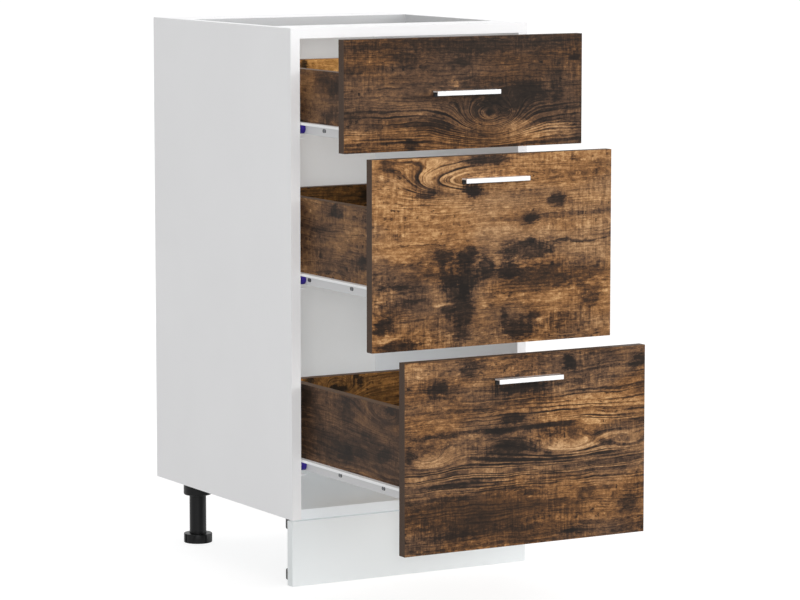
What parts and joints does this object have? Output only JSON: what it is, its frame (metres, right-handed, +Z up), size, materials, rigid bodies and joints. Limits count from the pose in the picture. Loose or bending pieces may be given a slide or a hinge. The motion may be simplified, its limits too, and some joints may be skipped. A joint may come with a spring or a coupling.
{
  "type": "kitchen base cabinet",
  "caption": "Floor-standing kitchen base cabinet with a bank of pull-out drawers on roller runners, bar pulls, plinth and levelling legs; stores kitchenware and carries a worktop.",
  "frame": {"origin": "on the floor, in the middle of the box that the cabinet fills with its drawers pulled out as pictured", "axes": "+Z up, +X to the right seen from the front, the drawers open along -Y"},
  "size_m": [0.4, 0.781, 0.815],
  "materials": {
    "white_board": "white melamine-faced chipboard",
    "back_sheet": "white faced hardboard",
    "smoked_oak": "dark smoked-oak decor on chipboard",
    "drawer_base": "faced hardboard",
    "runner_steel": "white powder-coated steel",
    "roller_plastic": "indigo plastic",
    "pull_chrome": "polished",
    "leg_plastic": "black moulded plastic"
  },
  "bodies": {
    "carcass": {"side_panel_left": "white_board", "side_panel_right": "white_board", "bottom_panel": "white_board", "front_top_rail": "white_board", "back_top_rail": "white_board", "back_panel": "back_sheet", "plinth": "white_board", "plinth_clips": "leg_plastic", "leg_sockets": "leg_plastic", "leg_tubes": "leg_plastic", "cabinet_rail_top_left": "runner_steel", "cabinet_rail_top_right": "runner_steel", "cabinet_rail_middle_left": "runner_steel", "cabinet_rail_middle_right": "runner_steel", "cabinet_rail_bottom_left": "runner_steel", "cabinet_rail_bottom_right": "runner_steel"},
    "foot_front_left": {"foot_front_left": "leg_plastic"},
    "foot_front_right": {"foot_front_right": "leg_plastic"},
    "foot_back_left": {"foot_back_left": "leg_plastic"},
    "foot_back_right": {"foot_back_right": "leg_plastic"},
    "drawer_top": {"drawer_top_front": "smoked_oak", "drawer_top_side_left": "smoked_oak", "drawer_top_side_right": "smoked_oak", "drawer_top_back": "smoked_oak", "drawer_top_bottom": "drawer_base", "drawer_top_handle": "pull_chrome", "drawer_top_runner_left": "runner_steel", "drawer_top_runner_right": "runner_steel"},
    "drawer_top_rear_roller_pair": {"drawer_top_rear_rollers": "roller_plastic"},
    "drawer_top_front_roller_pair": {"drawer_top_front_rollers": "roller_plastic"},
    "drawer_middle": {"drawer_middle_front": "smoked_oak", "drawer_middle_side_left": "smoked_oak", "drawer_middle_side_right": "smoked_oak", "drawer_middle_back": "smoked_oak", "drawer_middle_bottom": "drawer_base", "drawer_middle_handle": "pull_chrome", "drawer_middle_runner_left": "runner_steel", "drawer_middle_runner_right": "runner_steel"},
    "drawer_middle_rear_roller_pair": {"drawer_middle_rear_rollers": "roller_plastic"},
    "drawer_middle_front_roller_pair": {"drawer_middle_front_rollers": "roller_plastic"},
    "drawer_bottom": {"drawer_bottom_front": "smoked_oak", "drawer_bottom_side_left": "smoked_oak", "drawer_bottom_side_right": "smoked_oak", "drawer_bottom_back": "smoked_oak", "drawer_bottom_bottom": "drawer_base", "drawer_bottom_handle": "pull_chrome", "drawer_bottom_runner_left": "runner_steel", "drawer_bottom_runner_right": "runner_steel"},
    "drawer_bottom_rear_roller_pair": {"drawer_bottom_rear_rollers": "roller_plastic"},
    "drawer_bottom_front_roller_pair": {"drawer_bottom_front_rollers": "roller_plastic"}
  },
  "joints": [
    {"name": "foot_front_left_screw", "type": "slide", "parent": "carcass", "child": "foot_front_left", "axis": [0, 0, -1], "range_m": [0, 0.025]},
    {"name": "foot_front_right_screw", "type": "slide", "parent": "carcass", "child": "foot_front_right", "axis": [0, 0, -1], "range_m": [0, 0.025]},
    {"name": "foot_back_left_screw", "type": "slide", "parent": "carcass", "child": "foot_back_left", "axis": [0, 0, -1], "range_m": [0, 0.025]},
    {"name": "foot_back_right_screw", "type": "slide", "parent": "carcass", "child": "foot_back_right", "axis": [0, 0, -1], "range_m": [0, 0.025]},
    {"name": "drawer_top_slide", "type": "slide", "parent": "carcass", "child": "drawer_top", "axis": [0, -1, 0], "range_m": [-0.1365, 0.1785]},
    {"name": "drawer_top_rear_roller_spin", "type": "hinge", "parent": "drawer_top", "child": "drawer_top_rear_roller_pair", "pos_m": [0, 0.1875, 0.6651], "axis": [1, 0, 0], "continuous": true},
    {"name": "drawer_top_front_roller_spin", "type": "hinge", "parent": "carcass", "child": "drawer_top_front_roller_pair", "pos_m": [0, -0.0455, 0.6702], "axis": [1, 0, 0], "continuous": true},
    {"name": "drawer_middle_slide", "type": "slide", "parent": "carcass", "child": "drawer_middle", "axis": [0, -1, 0], "range_m": [-0.216, 0.099]},
    {"name": "drawer_middle_rear_roller_spin", "type": "hinge", "parent": "drawer_middle", "child": "drawer_middle_rear_roller_pair", "pos_m": [0, 0.108, 0.4462], "axis": [1, 0, 0], "continuous": true},
    {"name": "drawer_middle_front_roller_spin", "type": "hinge", "parent": "carcass", "child": "drawer_middle_front_roller_pair", "pos_m": [0, -0.0455, 0.4513], "axis": [1, 0, 0], "continuous": true},
    {"name": "drawer_bottom_slide", "type": "slide", "parent": "carcass", "child": "drawer_bottom", "axis": [0, -1, 0], "range_m": [-0.3065, 0.0085]},
    {"name": "drawer_bottom_rear_roller_spin", "type": "hinge", "parent": "drawer_bottom", "child": "drawer_bottom_rear_roller_pair", "pos_m": [0, 0.0175, 0.1732], "axis": [1, 0, 0], "continuous": true},
    {"name": "drawer_bottom_front_roller_spin", "type": "hinge", "parent": "carcass", "child": "drawer_bottom_front_roller_pair", "pos_m": [0, -0.0455, 0.1783], "axis": [1, 0, 0], "continuous": true}
  ],
  "couplings": [
    {"joint": "drawer_top_rear_roller_spin", "follows": "drawer_top_slide", "rad_per_m": 133.33},
    {"joint": "drawer_top_front_roller_spin", "follows": "drawer_top_slide", "rad_per_m": 133.33},
    {"joint": "drawer_middle_rear_roller_spin", "follows": "drawer_middle_slide", "rad_per_m": 133.33},
    {"joint": "drawer_middle_front_roller_spin", "follows": "drawer_middle_slide", "rad_per_m": 133.33},
    {"joint": "drawer_bottom_rear_roller_spin", "follows": "drawer_bottom_slide", "rad_per_m": 133.33},
    {"joint": "drawer_bottom_front_roller_spin", "follows": "drawer_bottom_slide", "rad_per_m": 133.33}
  ]
}
